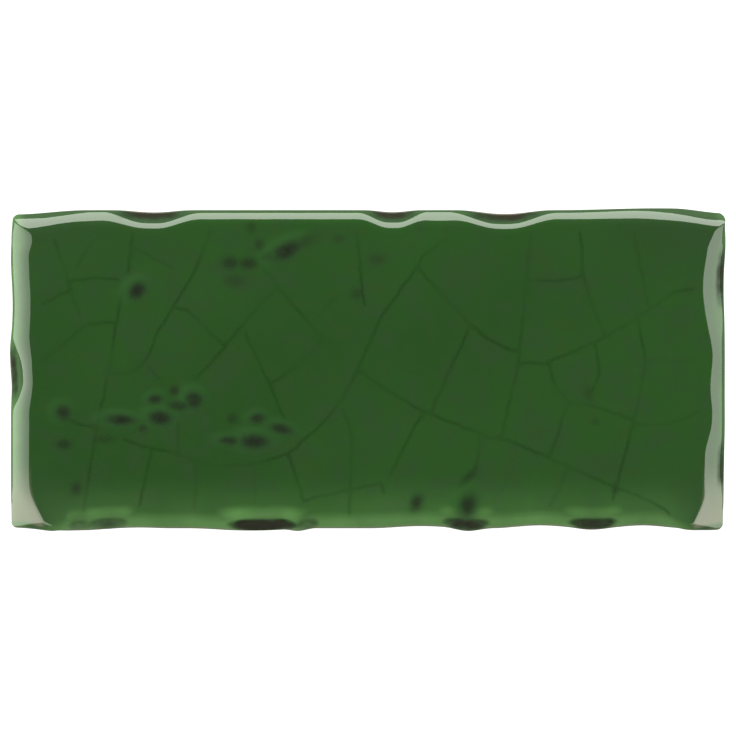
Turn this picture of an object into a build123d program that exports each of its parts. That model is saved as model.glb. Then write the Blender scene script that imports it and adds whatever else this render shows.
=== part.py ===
from build123d import *
import os
from collections import namedtuple
from math import cos, pi, radians, sin

os.makedirs("parts", exist_ok=True)

# A rustic glazed wall tile, in millimetres. The origin is the middle of the back,
# X runs along the tile, Y across it and Z out of its glazed face.

# Body
tile_length = 149.6  # between the mean lines of the short sides
tile_width = 66.75  # between the mean lines of the long sides
tile_thickness = 9.0  # from the back to the crown of the face
foot_draw_in = 0.8  # how far the foot stands back from the belly of the side
foot_shares = (0, 0.3, 0.65)  # levels of the leaning foot, as shares of the belly's height

# Rolled edge: a quarter of an ellipse, from the belly of the side up to the crown
roll_drop = 3.4  # from the crown down to the belly
long_roll_reach = 3.6  # how far the roll comes in over the face along the long sides
short_roll_reach = 4.8  # the same along the short sides
belly_corner_radius = 1.5  # the four corners in plan, at the belly
crown_corner_radius = 0.6  # the same at the crown
roll_steps = 9  # narrow bands that the roll is drawn in

# Places where the clay was pressed in or squeezed out along a side. The place is a share
# of the side, from the left or from the bottom. The rim is the depth at the belly and the
# face is the depth at the crown, both inwards, so that a bulge is negative.
Press = namedtuple("Press", "place length rim face")
top_presses = [
    Press(0.0, 30.0, 0.85, 1.0),
    Press(0.193, 14.0, 0.5, 1.6),
    Press(0.535, 11.5, 0.45, 1.7),
    Press(0.686, 18.0, 0.85, 1.8),
    Press(0.9, 40.0, -0.5, -0.4),
    Press(1.0, 16.0, 0.6, 1.0),
]
bottom_presses = [
    Press(0.075, 22.0, -0.45, 0.0),
    Press(0.125, 11.0, 0.1, 1.0),
    Press(0.18, 14.0, 0.2, 0.1),
    Press(0.365, 20.0, -0.4, 1.2),
    Press(0.575, 22.0, 0.6, 0.4),
    Press(0.64, 10.0, -0.4, 1.0),
    Press(0.742, 21.0, 0.67, 0.5),
    Press(0.814, 11.0, -0.25, 1.2),
    Press(0.885, 19.0, 0.67, 0.5),
    Press(0.972, 8.0, -0.3, 0.8),
]
left_presses = [
    Press(0.502, 13.5, -0.2, 0.8),
    Press(0.66, 12.0, 0.3, 0.3),
    Press(0.92, 9.0, 0.25, 0.2),
]
right_presses = [
    Press(0.2, 11.0, 0.25, 1.4),
    Press(0.734, 17.0, 0.15, 1.5),
    Press(1.0, 12.0, -0.2, -0.1),
]
point_spacing = 3.0  # between the points that a wavy side is drawn through

# The larger pits in the glaze, round-bottomed and round-ended. The places are shares of the
# length and the width from the middle of the face, and the turn is in degrees from the length.
Pit = namedtuple("Pit", "along across length width turn")
pits = [
    Pit(-0.323, 0.247, 3.6, 2.6, 40),
    Pit(-0.111, 0.378, 7.4, 3.2, 25),
    Pit(-0.243, -0.096, 3.5, 3.3, 0),
    Pit(-0.29, -0.152, 4.5, 2.7, -5),
    Pit(-0.346, -0.159, 5.6, 2.1, -3),
    Pit(-0.426, -0.137, 3.0, 2.9, 0),
    Pit(-0.159, -0.226, 5.4, 2.8, 0),
    Pit(-0.123, -0.186, 4.6, 2.1, -15),
    Pit(0.068, -0.426, 3.0, 2.8, 70),
    Pit(0.14, -0.422, 4.4, 3.0, 70),
]
pit_slope = 0.065  # depth of a pit for its width

# Keyed back: straight grooves for the bedding mortar
groove_count = 6
groove_width = 4.0
groove_depth = 0.6
groove_end_margin = 9.0  # from the end of a groove to the short side
groove_side_margin = 6.0  # from the outer grooves to the long side


def press_depth(presses, share, side_length, rise):
    """Depth of all presses at one point of a side, from the belly (rise 0) to the crown (rise 1)."""
    depth = 0.0
    for press in presses:
        away = abs(share - press.place) * side_length / (press.length / 2)
        if away < 1:
            swell = (1 + cos(pi * away)) / 2
            depth += swell * (press.rim + (press.face - press.rim) * rise)
    return depth


def draw_side(start, end, outward, presses, side_length, rise):
    """Draw a wavy side of an outline, from left to right or from bottom to top."""
    steps = round(side_length / point_spacing)
    shares = [step / steps for step in range(steps + 1)]
    run = end - start
    points = [
        start + run * share - outward * press_depth(presses, share, side_length, rise)
        for share in shares
    ]
    add(Edge.make_spline(points, tangents=[run, run], parameters=shares))


def draw_outline(long_inset, short_inset, corner_radius, rise):
    """Draw the four wavy sides and the four round corners of one level of the tile."""
    half_length = tile_length / 2 - short_inset
    half_width = tile_width / 2 - long_inset
    corners = {}
    for x_sign, end_presses in ((-1, left_presses), (1, right_presses)):
        for y_sign, edge_presses in ((-1, bottom_presses), (1, top_presses)):
            end_depth = press_depth(end_presses, (1 + y_sign) / 2, tile_width, rise)
            edge_depth = press_depth(edge_presses, (1 + x_sign) / 2, tile_length, rise)
            corner = Vector(
                x_sign * (half_length - end_depth - corner_radius),
                y_sign * (half_width - edge_depth - corner_radius),
            )
            corners[x_sign, y_sign] = corner
            start_angle = {(1, 1): 0, (-1, 1): 90, (-1, -1): 180, (1, -1): 270}[x_sign, y_sign]
            CenterArc(corner, corner_radius, start_angle, 90)

    for y_sign, edge_presses in ((-1, bottom_presses), (1, top_presses)):
        edge_start = Vector(corners[-1, y_sign].X, y_sign * half_width)
        edge_end = Vector(corners[1, y_sign].X, y_sign * half_width)
        draw_side(edge_start, edge_end, Vector(0, y_sign), edge_presses, tile_length, rise)
    for x_sign, end_presses in ((-1, left_presses), (1, right_presses)):
        end_start = Vector(x_sign * half_length, corners[x_sign, -1].Y)
        end_end = Vector(x_sign * half_length, corners[x_sign, 1].Y)
        draw_side(end_start, end_end, Vector(x_sign, 0), end_presses, tile_width, rise)


def arc_radius(chord, sagitta):
    """Radius of the arc that dips by the sagitta over the chord."""
    return (chord**2 / 4 + sagitta**2) / (2 * sagitta)


# Levels that the tile is drawn through: the leaning foot, then the roll
Level = namedtuple("Level", "height long_inset short_inset corner_radius rise")
belly_height = tile_thickness - roll_drop
levels = []
for share in foot_shares:
    lean = foot_draw_in * (1 - share) ** 2
    levels.append(Level(belly_height * share, lean, lean, belly_corner_radius, 0))
for step in range(roll_steps + 1):
    angle = pi / 2 * step / roll_steps
    levels.append(
        Level(
            belly_height + roll_drop * sin(angle),
            long_roll_reach * (1 - cos(angle)),
            short_roll_reach * (1 - cos(angle)),
            belly_corner_radius + (crown_corner_radius - belly_corner_radius) * (1 - cos(angle)),
            sin(angle) ** 2,
        )
    )

# Tile: the body with its rolled edge, the pits in its face and the grooves in its back
with BuildPart() as tile:
    for level in levels:
        with BuildSketch(Plane.XY.offset(level.height)):
            with BuildLine():
                draw_outline(level.long_inset, level.short_inset, level.corner_radius, level.rise)
            make_face()
    loft(ruled=True)

    for pit in pits:
        depth = pit_slope * pit.width
        ball_radius = arc_radius(pit.width, depth)
        half_run = (pit.length - pit.width) / 2
        direction = Vector(cos(radians(pit.turn)), sin(radians(pit.turn)))
        axis_height = tile_thickness + ball_radius - depth
        middle = Vector(pit.along * tile_length, pit.across * tile_width, axis_height)
        with BuildSketch(Plane(middle, x_dir=direction, z_dir=direction.cross(Vector(0, 0, 1)))):
            with BuildLine():
                CenterArc((-half_run, 0), ball_radius, 90, 90)
                Line((-half_run, ball_radius), (half_run, ball_radius))
                CenterArc((half_run, 0), ball_radius, 0, 90)
                Line((-half_run - ball_radius, 0), (half_run + ball_radius, 0))
            make_face()
        revolve(axis=Axis(middle, direction), mode=Mode.SUBTRACT)

    groove_pitch = (tile_width - 2 * groove_side_margin - groove_width) / (groove_count - 1)
    with BuildSketch(Plane.XY):
        with GridLocations(0, groove_pitch, 1, groove_count):
            Rectangle(tile_length - 2 * groove_end_margin, groove_width)
    extrude(amount=groove_depth, mode=Mode.SUBTRACT)

tile.part.label = "tile"
export_step(tile.part, "parts/tile.step")
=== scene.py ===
"""A rustic wall tile with a crackled green glaze, seen straight from above.

The tile is written in millimetres and degrees, and turned into metres and radians where it meets Blender.
The studio around it is written in metres. The tile lies on its back: X runs along it, Y across it and Z out
of its glazed face.
"""

import logging
import math
from dataclasses import dataclass, replace
from enum import Enum

import bpy
import numpy as np
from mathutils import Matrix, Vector

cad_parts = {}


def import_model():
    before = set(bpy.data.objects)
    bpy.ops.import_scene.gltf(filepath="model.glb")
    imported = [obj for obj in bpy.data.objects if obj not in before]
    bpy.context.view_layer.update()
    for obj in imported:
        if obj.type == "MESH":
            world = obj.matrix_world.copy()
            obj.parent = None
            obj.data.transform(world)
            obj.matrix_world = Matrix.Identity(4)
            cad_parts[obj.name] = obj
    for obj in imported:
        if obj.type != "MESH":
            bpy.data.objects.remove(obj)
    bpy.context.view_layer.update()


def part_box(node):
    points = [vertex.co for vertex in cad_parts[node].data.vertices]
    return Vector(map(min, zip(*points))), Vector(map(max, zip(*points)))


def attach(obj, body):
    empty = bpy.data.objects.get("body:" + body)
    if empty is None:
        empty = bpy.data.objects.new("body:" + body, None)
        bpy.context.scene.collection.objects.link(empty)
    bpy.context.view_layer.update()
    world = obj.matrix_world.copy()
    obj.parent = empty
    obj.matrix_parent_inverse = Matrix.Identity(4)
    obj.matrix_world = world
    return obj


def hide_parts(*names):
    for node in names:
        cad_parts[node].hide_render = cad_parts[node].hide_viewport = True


log = logging.getLogger("tile")

MM = 0.001

# How close points come, in millimetres, to count as level with a height, as lying on a side or as unmoved
LEVEL_WITH = 0.01
ON_SIDE = 0.001
UNMOVED = 0.00001
# A length that stands in for nothing where a division needs one
HAIR = 0.000001

# Places of the colours among the sockets of a mix node
MIX_COLOURS = (6, 7)
MIX_RESULT = 2

Colour = tuple[float, float, float]
Place = tuple[float, float]
Socket = bpy.types.NodeSocket
Source = Socket | float | tuple[float, ...] | None


class Side(Enum):
    """The four sides of the tile, with the direction that points out of each."""

    TOP = (0, 1)
    BOTTOM = (0, -1)
    LEFT = (-1, 0)
    RIGHT = (1, 0)

    @property
    def is_long(self) -> bool:
        """Return whether this is one of the two long sides."""
        return self in (Side.TOP, Side.BOTTOM)


class Axis(Enum):
    """The axes that points are pushed along, as a displace modifier names them."""

    X = "X"
    Y = "Y"
    Z = "Z"


@dataclass(frozen=True)
class Fade:
    """A smooth change from nothing at one value to all at another."""

    none: float
    full: float

    def at(self, values: np.ndarray | float) -> np.ndarray:
        """Return values eased from 0 to 1."""
        share = np.clip((values - self.none) / (self.full - self.none), 0, 1)
        return share * share * (3 - 2 * share)


@dataclass(frozen=True)
class Ramp:
    """A smooth change of a shader's value, from one result at low to another at high."""

    low: float
    high: float
    first: float = 0.0
    last: float = 1.0


@dataclass(frozen=True)
class Mottle:
    """Soft patches: the scale and detail of a noise, and the ramp that turns it into shares."""

    scale: float
    detail: float
    ramp: Ramp


@dataclass(frozen=True)
class Fray:
    """A ragged edge: the scale and detail of a noise, and the gain and base of its values."""

    scale: float
    detail: float
    gain: float
    base: float


@dataclass(frozen=True)
class Roll:
    """The rolled edge of a side: an arc from the crown down to a sharp edge, then a steep rim.

    In a hollow the sharp edge and the start of the arc move in over the face.
    """

    reach: float
    edge_tilt: float
    hollow_edge: float
    hollow_reach: float

    @property
    def radius(self) -> float:
        """Return the radius of the arc."""
        return self.reach / math.sin(math.radians(self.edge_tilt))

    def inset(self, drop: np.ndarray | float) -> np.ndarray:
        """Work out how far the roll stands in at some depths under the crown.

        Args:
            drop: the depths, in millimetres.

        Returns:
            The distances from the side.
        """
        cosine = 1 - drop / self.radius
        lowest = math.cos(math.radians(self.edge_tilt))
        tilt = np.arccos(np.clip(cosine, lowest, 1))
        return self.reach - self.radius * np.sin(tilt)

    def drop(self, inset: np.ndarray | float) -> np.ndarray:
        """Return how deep the roll lies under the crown at some distances from the side."""
        sine = np.clip((self.reach - inset) / self.radius, 0, 1)
        return self.radius * (1 - np.sqrt(1 - sine**2))


@dataclass(frozen=True)
class Spot:
    """A stretch of a side, with its place as a share of the side from the left or from the bottom."""

    side: Side
    place: float
    length: float

    def away(self, along: np.ndarray, side_length: float) -> np.ndarray:
        """Return how far points along a side lie from the middle, which is one at the ends."""
        return np.abs(along - self.place * side_length) / (self.length / 2)


@dataclass(frozen=True)
class Press(Spot):
    """A stretch that was pressed in by hand, or squeezed out where its depth is negative.

    It has one depth at the rim and another where the roll meets the face.
    """

    rim: float
    face: float

    def depths(self, away: np.ndarray, lift: np.ndarray) -> np.ndarray:
        """Return how deep points are pressed in, with a lift from 0 at the rim to 1 on the face."""
        wave = np.where(away < 1, (1 + np.cos(np.pi * np.minimum(away, 1))) / 2, 0)
        return wave * (self.rim + (self.face - self.rim) * lift)


@dataclass(frozen=True)
class Hollow(Spot):
    """A scoop in the rolled edge, where the glaze gathers with painted shade, light is painted around it,
    or the glaze is worn off its rim.
    """

    depth: float
    stain_and_shade: float = 0.0
    lit_halo: float = 0.0
    worn: float = 0.0


@dataclass(frozen=True)
class Pit:
    """An oval pit in the glaze, which pooled dark in it."""

    x: float
    y: float
    length: float
    width: float
    turn: float = 0.0
    dark: float = 1.0

    def distance(self, points: np.ndarray) -> np.ndarray:
        """Measure how far points lie from the middle of the pit.

        Args:
            points: the points, in millimetres.

        Returns:
            The distances, which reach one on the rim of the pit.
        """
        turn = math.radians(self.turn)
        from_x = points[:, 0] - self.x
        from_y = points[:, 1] - self.y
        along = from_x * math.cos(turn) + from_y * math.sin(turn)
        across = from_y * math.cos(turn) - from_x * math.sin(turn)
        return np.hypot(along / (self.length / 2), across / (self.width / 2))

    def shifted(self, share: float) -> "Pit":
        """Return the pit moved up and to the left by a share of its width."""
        return replace(self, x=self.x - share * self.width, y=self.y + share * self.width)


@dataclass(frozen=True)
class Craze:
    """A craze line in the glaze, bowed to its left by the given height."""

    start: Place
    end: Place
    bow: float = 0.0
    strength: float = 1.0


@dataclass(frozen=True)
class ThinAndLitEdge:
    """Thin glaze along a side, with painted light on it: how it fades inwards, its share at most and how it
    fades at the ends.
    """

    side: Side
    inwards: Fade
    most: float
    ends: Fade | None = None


@dataclass(frozen=True)
class GlazeFinish:
    """Colours and measures of the glaze and of the clay under it."""

    # Even glaze, greyer towards the corners of the face
    deep: Colour = (0.0134, 0.0424, 0.0097)
    fresh: Colour = (0.0150, 0.0480, 0.0108)
    greyed: Colour = (0.0178, 0.0400, 0.0155)
    olive: Colour = (0.0180, 0.0425, 0.0094)
    clouds: Mottle = Mottle(24, 2, Ramp(0.35, 0.65))
    corner: Place = (75, 34)
    grey_corners: Ramp = Ramp(0.05, 0.7, 0, 0.8)
    grey_patches: Mottle = Mottle(190, 4, Ramp(0.42, 0.68, 0, 0.6))
    olive_patches: Mottle = Mottle(260, 4, Ramp(0.5, 0.72, 0, 0.5))

    # Thin glaze, partly painted light, and the craze lines
    # Light green of thin glaze, also used as painted light: the light band along the bottom stands in for
    # light from the south
    thin_and_lit: Colour = (0.108, 0.232, 0.074)
    buff: Colour = (0.150, 0.150, 0.108)
    cracked: Colour = (0.0052, 0.0190, 0.0039)
    thin_and_lit_fray: Fray = Fray(130, 3, 0.9, 0.55)
    craze_line: Ramp = Ramp(0.0, 0.7, 1, 0)
    craze_reach: Ramp = Ramp(0.55, 0.8, 1, 0)
    craze_fading: Mottle = Mottle(90, 2, Ramp(0.3, 0.7, 0.12, 0.42))

    # Pits: a dark pool, and a painted highlight on one side
    halo_highlight: Colour = (0.0220, 0.071, 0.0185)
    pooled: Colour = (0.0102, 0.0142, 0.0086)
    pool_fray: Fray = Fray(380, 2, 0.9, 0.55)

    # Pressed hollows, with gathered glaze and stain that also carry painted shade, their worn rims and the
    # bare foot
    gathered_and_shaded: Colour = (0.0120, 0.0280, 0.0110)
    stained_and_shaded: Colour = (0.0170, 0.0148, 0.0092)
    worn: Colour = (0.090, 0.080, 0.066)
    clay: Colour = (0.36, 0.27, 0.20)
    stain_and_shade_fray: Fray = Fray(420, 3, 1.1, 0.45)
    gathering_and_shading: Ramp = Ramp(0.05, 0.6, 0, 0.8)
    staining_and_shading: Ramp = Ramp(0.4, 0.9, 0, 0.95)
    clay_fray: Fray = Fray(700, 3, 0.6, -0.3)
    wearing: Ramp = Ramp(0.3, 0.6)
    baring: Ramp = Ramp(0.45, 0.6)

    # Gloss
    index: float = 1.6
    roughness: float = 0.05
    clay_roughness: float = 0.85
    stain_and_shade_shine: Ramp = Ramp(0.1, 0.8, 0.5, 0.12)


@dataclass(frozen=True)
class GlazeMarks:
    """How far the thin, gathered, stained and bare places of the glaze reach, with the painted light and
    shade among them.

    Distances from a side are in millimetres, and those along a hollow or from a pit in half its size.
    """

    # Thin glaze along the sides, partly painted light; the wide band along the bottom is painted light from
    # the south
    thin_and_lit_edges: tuple[ThinAndLitEdge, ...] = (
        ThinAndLitEdge(Side.TOP, Fade(3.4, 0.3), 0.10),
        ThinAndLitEdge(Side.BOTTOM, Fade(5.5, 0.3), 0.74, Fade(1.0, 9.0)),
        ThinAndLitEdge(Side.BOTTOM, Fade(13.0, 2.5), 0.14, Fade(1.0, 9.0)),
        ThinAndLitEdge(Side.LEFT, Fade(4.4, 0.3), 0.5),
        ThinAndLitEdge(Side.RIGHT, Fade(4.4, 0.3), 0.26),
    )
    thin_and_lit_power: float = 1.5
    upper_rise: Fade = Fade(0, 12)

    # Hollows: stains with painted shade, as a strip in the top and the ends and as an oval in the bottom
    top_stain_and_shade: Fade = Fade(2.5, 0.9)
    end_stain_and_shade: Fade = Fade(2.0, 1.1)
    oval_stain_and_shade: Fade = Fade(-0.1, 1.0)
    oval_middle: float = 1.2
    oval_height: float = 1.6
    # Painted light around the hollows, lighter green above those in the bottom
    halo_along: Fade = Fade(1.5, 0.6)
    halo_inwards: Fade = Fade(6.2, 2.9)
    worn_rim: Fade = Fade(0.40, 0.12)
    worn_drop: float = 1.1
    worn_full_drop: float = 0.3

    # Clay showing through along the bottom rim and at the low ends of the short sides
    buff_rim: Fade = Fade(0.55, 0.2)
    buff_rim_share: float = 0.6
    buff_end: Fade = Fade(15.0, 3.0)
    buff_inwards: Fade = Fade(4.7, 3.6)
    buff_above_rim: Fade = Fade(0.8, 1.8)
    buff_end_share: float = 0.8

    # Pits: a dark pool with soft edges and a painted highlight on one side, which only the darker ones have
    pool_tightness: float = 0.5
    pool_power: float = 2.6
    halo_shift: float = 0.15
    halo_share: float = 0.75
    halo_reach: Fade = Fade(2.6, 0.8)
    halo_dark: Fade = Fade(0.7, 1.0)

    # Bare clay of the foot, and of all that lies lower
    foot: Fade = Fade(2.6, 1.2)
    back_height: float = 0.9


PRESSES = (
    Press(Side.TOP, 0.0, 32.0, 0.85, 1.75),
    Press(Side.TOP, 0.12, 22.0, 0.0, 0.5),
    Press(Side.TOP, 0.2, 16.0, 0.4, 0.4),
    Press(Side.TOP, 0.535, 11.5, 0.35, 0.4),
    Press(Side.TOP, 0.6, 14.0, 0.0, 0.5),
    Press(Side.TOP, 0.692, 20.0, 0.75, 0.6),
    Press(Side.TOP, 0.91, 44.0, -0.4, -0.1),
    Press(Side.TOP, 1.0, 22.0, 0.75, 1.1),
    Press(Side.BOTTOM, 0.0, 14.0, 0.15, 0.1),
    Press(Side.BOTTOM, 0.047, 15.0, 0.0, -2.0),
    Press(Side.BOTTOM, 0.085, 26.0, -0.5, -0.5),
    Press(Side.BOTTOM, 0.18, 14.0, 0.15, 0.15),
    Press(Side.BOTTOM, 0.34, 28.0, -0.55, -0.5),
    Press(Side.BOTTOM, 0.404, 7.0, -0.45, -0.3),
    Press(Side.BOTTOM, 0.575, 22.0, 0.45, 0.4),
    Press(Side.BOTTOM, 0.64, 11.0, -0.65, -0.5),
    Press(Side.BOTTOM, 0.742, 21.0, 0.6, 0.5),
    Press(Side.BOTTOM, 0.814, 11.0, -0.35, -0.3),
    Press(Side.BOTTOM, 0.885, 19.0, 0.6, 0.5),
    Press(Side.BOTTOM, 0.98, 12.0, -0.4, -0.4),
    Press(Side.BOTTOM, 0.955, 15.0, 0.0, -1.9),
    Press(Side.LEFT, 0.0, 20.0, 0.1, 3.4),
    Press(Side.LEFT, 0.536, 14.0, -0.35, -0.2),
    Press(Side.LEFT, 0.7, 20.0, 0.35, 0.35),
    Press(Side.LEFT, 0.925, 9.0, 0.1, 0.7),
    Press(Side.LEFT, 1.0, 10.0, 0.4, 0.0),
    Press(Side.RIGHT, 0.0, 44.0, 0.25, 0.4),
    Press(Side.RIGHT, 0.0, 17.0, 0.1, 2.7),
    Press(Side.RIGHT, 0.36, 19.0, -0.05, -1.3),
    Press(Side.RIGHT, 0.53, 19.0, -0.05, -1.3),
    Press(Side.RIGHT, 0.744, 18.0, 0.15, 0.6),
    Press(Side.RIGHT, 0.9, 14.0, -0.2, -0.2),
    Press(Side.RIGHT, 1.0, 18.0, 0.0, -2.6),
)

HOLLOWS = (
    Hollow(Side.TOP, 0.0, 42.0, 0.42),
    Hollow(Side.TOP, 0.196, 21.0, 0.9, stain_and_shade=0.8, worn=0.9),
    Hollow(Side.TOP, 0.535, 14.5, 0.85, stain_and_shade=0.8, worn=0.9),
    Hollow(Side.TOP, 0.69, 23.0, 0.8, stain_and_shade=0.8, worn=1.0),
    Hollow(Side.TOP, 1.0, 40.0, 0.5),
    Hollow(Side.BOTTOM, 0.0956, 6.0, 0.5, stain_and_shade=0.32, lit_halo=0.35),
    Hollow(Side.BOTTOM, 0.136, 10.5, 0.7, stain_and_shade=0.45, lit_halo=0.45),
    Hollow(Side.BOTTOM, 0.353, 16.5, 1.0, stain_and_shade=1.0, lit_halo=0.62),
    Hollow(Side.BOTTOM, 0.415, 6.0, 0.4, stain_and_shade=0.4, lit_halo=0.1),
    Hollow(Side.BOTTOM, 0.638, 11.5, 0.9, stain_and_shade=0.72, lit_halo=0.38),
    Hollow(Side.BOTTOM, 0.8155, 12.0, 0.7, stain_and_shade=0.68, lit_halo=0.4, worn=0.7),
    Hollow(Side.BOTTOM, 0.973, 8.0, 0.0, worn=0.8),
    Hollow(Side.RIGHT, 0.2, 15.0, 0.26, stain_and_shade=0.6),
    Hollow(Side.RIGHT, 0.79, 19.0, 0.3, stain_and_shade=0.7),
    Hollow(Side.LEFT, 0.487, 18.0, 1.0, stain_and_shade=0.7, worn=0.8),
)

PITS = (
    Pit(-48.2, 16.4, 3.8, 3.0, 40),
    Pit(-17.0, 24.7, 6.4, 3.0, 27),
    Pit(-13.8, 26.3, 5.0, 2.4, 30, 0.6),
    Pit(-19.8, 23.7, 4.0, 2.0, 15, 0.6),
    Pit(-28.7, 22.2, 3.0, 2.1, 0, 0.7),
    Pit(-24.9, 22.1, 3.4, 2.0, 0, 0.75),
    Pit(-27.7, 18.5, 3.4, 2.0, 0, 0.4),
    Pit(-36.3, -6.4, 3.4, 3.2),
    Pit(-39.2, -7.6, 4.0, 1.8, 0, 0.8),
    Pit(-40.4, -4.5, 1.7, 1.7, 0, 0.7),
    Pit(-44.4, -6.2, 2.8, 1.8, 10, 0.9),
    Pit(-43.4, -10.2, 4.4, 2.8, -5),
    Pit(-47.0, -12.3, 1.7, 1.4, 0, 0.6),
    Pit(-51.7, -10.6, 5.6, 2.1, -3),
    Pit(-63.7, -9.1, 3.0, 3.0, 0, 0.9),
    Pit(-63.5, -15.7, 2.5, 1.7, 0, 0.7),
    Pit(-60.9, -24.7, 2.1, 1.9, 90, 0.6),
    Pit(-28.3, -10.3, 1.7, 1.7, 0, 0.6),
    Pit(-28.9, -15.0, 3.8, 1.8, 0, 0.9),
    Pit(-23.7, -15.1, 5.6, 2.9),
    Pit(-23.0, -10.3, 3.0, 1.9, 10, 0.9),
    Pit(-18.1, -12.5, 4.5, 2.0, -15, 0.9),
    Pit(10.2, -28.2, 3.1, 2.2, 70, 0.8),
    Pit(20.9, -28.0, 4.4, 3.0, 75, 0.9),
    Pit(21.1, -22.5, 4.0, 1.4, 45, 0.6),
    Pit(-2.3, 15.8, 1.9, 1.9, 0, 0.45),
    Pit(1.9, 23.1, 2.6, 1.8, 0, 0.4),
    Pit(-6.1, 27.3, 1.6, 1.4, 0, 0.4),
    Pit(-22.7, 26.0, 1.9, 1.7, 90, 0.5),
    Pit(-24.3, 29.6, 2.0, 1.6, 90, 0.5),
    Pit(-54.9, -14.6, 3.8, 1.4, 0, 0.4),
    Pit(46.3, -4.9, 2.2, 1.9, 90, 0.35),
    Pit(47.5, -11.0, 1.4, 1.2, 0, 0.35),
    Pit(51.7, -25.2, 1.6, 1.2, 90, 0.4),
)

CRAZES = (
    Craze((-65.6, 27.5), (-62.2, 16.5), 0.2),
    Craze((-62.2, 16.5), (-60.2, 11.4), 0.0, 0.5),
    Craze((-57.0, 27.5), (-61.0, 21.1)),
    Craze((-62.1, 18.5), (-52.4, 18.8), 0.45),
    Craze((-62.1, 16.7), (-68.1, 13.7)),
    Craze((-49.1, 28.6), (-50.1, 20.4)),
    Craze((-33.1, 28.6), (-37.3, 18.5), 0.3),
    Craze((-37.3, 18.5), (-44.0, 7.6)),
    Craze((-44.0, 7.6), (-47.0, 1.2), 0.3),
    Craze((-47.0, 1.2), (-54.1, -0.7), 1.1),
    Craze((-51.3, 15.6), (-53.7, 1.2), -0.3),
    Craze((-53.7, 1.2), (-56.6, -12.0)),
    Craze((-56.6, -12.0), (-59.4, -29.0)),
    Craze((-40.1, 12.7), (-37.5, 12.3)),
    Craze((-37.5, 12.3), (-30.0, 4.7)),
    Craze((-52.6, 9.7), (-59.1, 9.1), -0.3),
    Craze((-59.1, 9.1), (-67.5, 2.0)),
    Craze((-19.1, 16.9), (-30.0, 4.4), -0.3),
    Craze((-30.0, 4.4), (-36.1, -2.2)),
    Craze((-22.0, 21.5), (-9.3, 6.4), -0.3),
    Craze((-9.3, 6.4), (-5.3, 3.0), 0.0, 0.5),
    Craze((-9.3, 6.4), (-20.5, -3.2), 0.7),
    Craze((-25.4, 7.4), (-20.5, -3.2)),
    Craze((-20.5, -3.2), (-17.6, -10.0)),
    Craze((-2.1, 28.4), (-0.7, 13.7), -0.2),
    Craze((16.7, 27.5), (10.4, 21.5), -0.8),
    Craze((10.4, 21.5), (2.7, 10.8)),
    Craze((2.7, 10.8), (-1.9, 0.3)),
    Craze((-1.9, 0.3), (-5.3, -6.4)),
    Craze((-5.3, -6.4), (-16.6, -17.5), 0.5),
    Craze((-16.6, -17.5), (-28.7, -20.2), 0.6),
    Craze((-28.7, -20.2), (-39.2, -17.7), 0.8),
    Craze((-39.2, -17.7), (-50.7, -14.8), 0.3),
    Craze((-56.6, -12.5), (-62.7, -10.6)),
    Craze((10.4, 21.5), (21.1, 9.7), -0.2),
    Craze((21.1, 9.7), (31.4, 3.5), -0.7),
    Craze((21.3, 9.1), (13.4, -8.7)),
    Craze((11.5, -8.9), (4.8, -21.7)),
    Craze((-1.7, -0.3), (11.5, -8.7), -0.3),
    Craze((11.5, -8.7), (25.7, -14.4)),
    Craze((25.7, -14.4), (31.6, -15.8), 0.3),
    Craze((31.6, -15.8), (48.4, -23.1)),
    Craze((48.4, -23.1), (63.0, -29.9)),
    Craze((23.4, -13.7), (22.4, -20.6), 0.3),
    Craze((-5.3, -8.7), (-3.4, -16.7), 0.8),
    Craze((-3.4, -16.7), (-3.8, -30.1)),
    Craze((-16.6, -17.7), (-13.4, -27.3)),
    Craze((-13.4, -27.3), (2.7, -23.8)),
    Craze((2.7, -23.8), (3.3, -25.7)),
    Craze((-23.5, -21.5), (-23.7, -27.1), 0.0, 0.5),
    Craze((-35.9, -19.4), (-36.2, -28.8)),
    Craze((-39.6, -11.4), (-39.6, -17.9)),
    Craze((-45.1, -16.7), (-47.6, -28.4)),
    Craze((-45.5, 0.1), (-43.8, -1.8)),
    Craze((34.1, 28.4), (32.4, 11.0)),
    Craze((32.4, 11.0), (31.4, 1.4)),
    Craze((31.4, 1.4), (28.0, -14.4)),
    Craze((44.4, 28.2), (45.0, 19.8)),
    Craze((45.0, 19.8), (49.6, 7.0), -0.4),
    Craze((33.1, 19.0), (44.8, 19.6), -0.8),
    Craze((55.7, 28.2), (58.4, 13.7)),
    Craze((68.0, 16.7), (64.3, 16.2)),
    Craze((64.3, 16.2), (50.0, 6.8)),
    Craze((50.0, 6.8), (38.1, 1.6)),
    Craze((56.3, 11.0), (57.8, 3.0)),
    Craze((57.8, 3.0), (55.5, -11.0), 0.4),
    Craze((55.5, -11.0), (51.3, -27.1)),
    Craze((47.3, 5.3), (48.4, -0.9), 0.3),
    Craze((48.4, -0.9), (47.1, -4.1)),
    Craze((31.4, 1.4), (37.9, 1.0)),
    Craze((37.9, 1.0), (42.1, -6.8), -0.9),
    Craze((42.1, -6.8), (55.5, -11.0), 0.7),
    Craze((55.5, -11.0), (68.0, -8.9), -1.5),
    Craze((42.1, -6.8), (38.1, -18.3), -0.2),
    Craze((41.7, -19.8), (38.1, -28.8), 0.5),
    Craze((-48.9, 25.5), (-40.9, 21.3), 0.0, 0.5),
    Craze((-6.5, 15.2), (-9.3, 12.5), 0.0, 0.5),
    Craze((58.4, 2.0), (67.0, 1.6), 0.0, 0.5),
)


def select_only(piece: bpy.types.Object) -> None:
    """Select one object, with every other one deselected, and make it the active one.

    Args:
        piece: the object to select.
    """
    bpy.ops.object.select_all(action="DESELECT")
    piece.select_set(True)
    bpy.context.view_layer.objects.active = piece


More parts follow.
